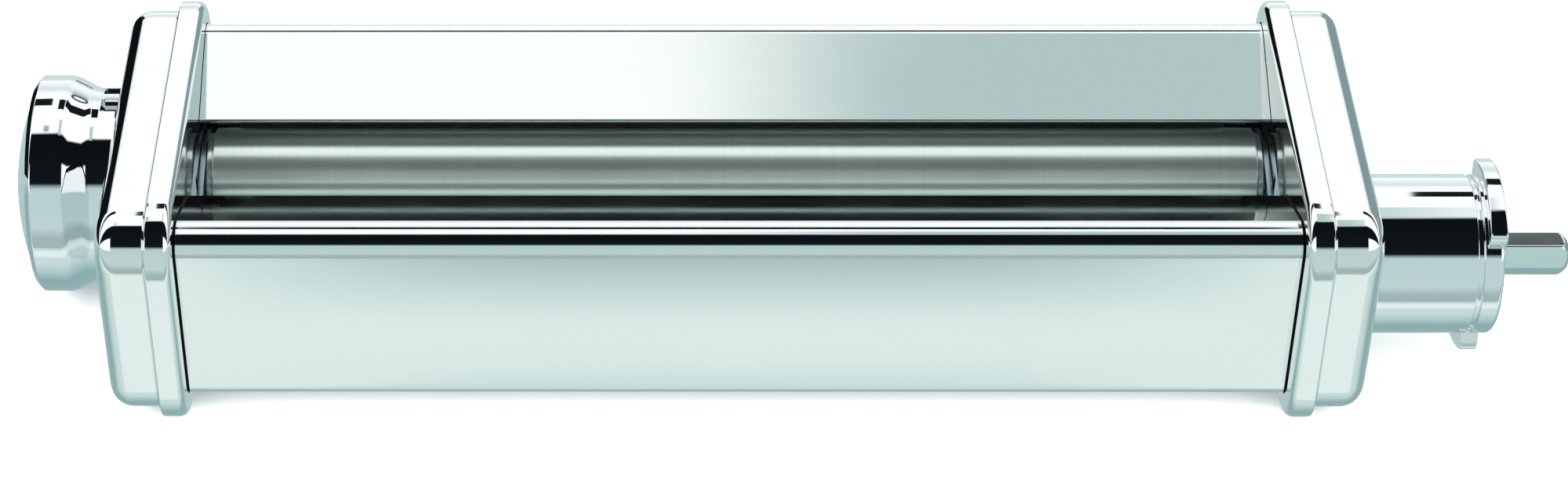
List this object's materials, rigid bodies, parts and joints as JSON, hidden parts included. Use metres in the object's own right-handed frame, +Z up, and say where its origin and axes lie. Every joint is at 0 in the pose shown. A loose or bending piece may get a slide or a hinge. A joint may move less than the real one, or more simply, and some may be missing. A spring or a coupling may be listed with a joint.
{
  "type": "pasta roller attachment",
  "caption": "Polished pasta sheet roller for a stand mixer: open-bottomed hopper over driven and adjustable rollers, thickness knob at one end and bayonet collar with hex drive at the other.",
  "frame": {"origin": "middle of the overall box in plan, on the plane that the side frames stand on", "axes": "+X along the rollers towards the drive collar, +Y to the back, +Z up"},
  "size_m": [0.2156, 0.058, 0.0356],
  "materials": {
    "polished_steel": "mirror polished stainless steel",
    "chrome_plate": "bright chrome plate",
    "satin_steel": "satin ground",
    "guard_steel": "dull blue-grey",
    "bronze": "sintered bronze",
    "nylon": "moulded nylon",
    "machined_steel": "machined",
    "ground_steel": "ground",
    "zinc_steel": "zinc plated",
    "spring_steel": "drawn wire"
  },
  "bodies": {
    "housing": {"left_side_frame": "polished_steel", "right_side_frame": "polished_steel", "left_cover": "polished_steel", "right_cover": "polished_steel", "front_panel": "polished_steel", "rear_panel": "polished_steel", "drive_collar": "chrome_plate", "collar_bush": "bronze", "collar_screws": "zinc_steel", "front_lower_tie_rod": "ground_steel", "rear_lower_tie_rod": "ground_steel", "front_upper_tie_rod": "ground_steel", "rear_upper_tie_rod": "ground_steel", "left_tie_rod_screws": "zinc_steel", "right_tie_rod_screws": "zinc_steel", "left_cover_screws": "zinc_steel", "right_cover_screws": "zinc_steel", "left_front_bush": "bronze", "right_front_bush": "bronze", "left_end_guard": "guard_steel", "right_end_guard": "guard_steel", "front_scraper": "nylon", "rear_scraper": "nylon", "index_pin": "ground_steel", "left_shaft_bush": "bronze", "right_shaft_bush": "bronze"},
    "driven_roller": {"drive_roller": "satin_steel", "drive_shaft": "ground_steel", "drive_gear": "machined_steel", "drive_gear_key": "ground_steel", "drive_roller_screw": "zinc_steel"},
    "roller_carriage": {"left_bearing_block": "machined_steel", "right_bearing_block": "machined_steel"},
    "adjustable_roller": {"rear_roller": "satin_steel", "driven_gear": "machined_steel", "driven_gear_key": "ground_steel"},
    "adjuster": {"adjusting_shaft": "ground_steel", "left_cam": "machined_steel", "right_cam": "machined_steel", "knob_screw": "zinc_steel"},
    "thickness_knob": {"knob": "chrome_plate", "knob_cap": "chrome_plate", "knob_spring": "spring_steel"}
  },
  "joints": [
    {"name": "drive_spin", "type": "hinge", "parent": "housing", "child": "driven_roller", "pos_m": [-0.0068, -0.00845, 0.016], "axis": [1, 0, 0], "continuous": true},
    {"name": "knob_turn", "type": "hinge", "parent": "housing", "child": "adjuster", "pos_m": [-0.0068, 0.00705, 0.016], "axis": [1, 0, 0], "range_deg": [0, 180]},
    {"name": "carriage_slide", "type": "slide", "parent": "housing", "child": "roller_carriage", "axis": [0, -1, 0], "range_m": [0, 0.0018]},
    {"name": "rear_roller_spin", "type": "hinge", "parent": "roller_carriage", "child": "adjustable_roller", "pos_m": [-0.0068, 0.00795, 0.016], "axis": [1, 0, 0], "continuous": true},
    {"name": "knob_pull", "type": "slide", "parent": "adjuster", "child": "thickness_knob", "axis": [-1, 0, 0], "range_m": [0, 0.004], "stiffness_N_per_m": 300, "springref_m": -0.004, "deforming": ["knob_spring"]}
  ],
  "couplings": [
    {"joint": "knob_turn", "follows": "carriage_slide", "rad_per_m": 1745.3},
    {"joint": "rear_roller_spin", "follows": "drive_spin", "ratio": -1}
  ]
}
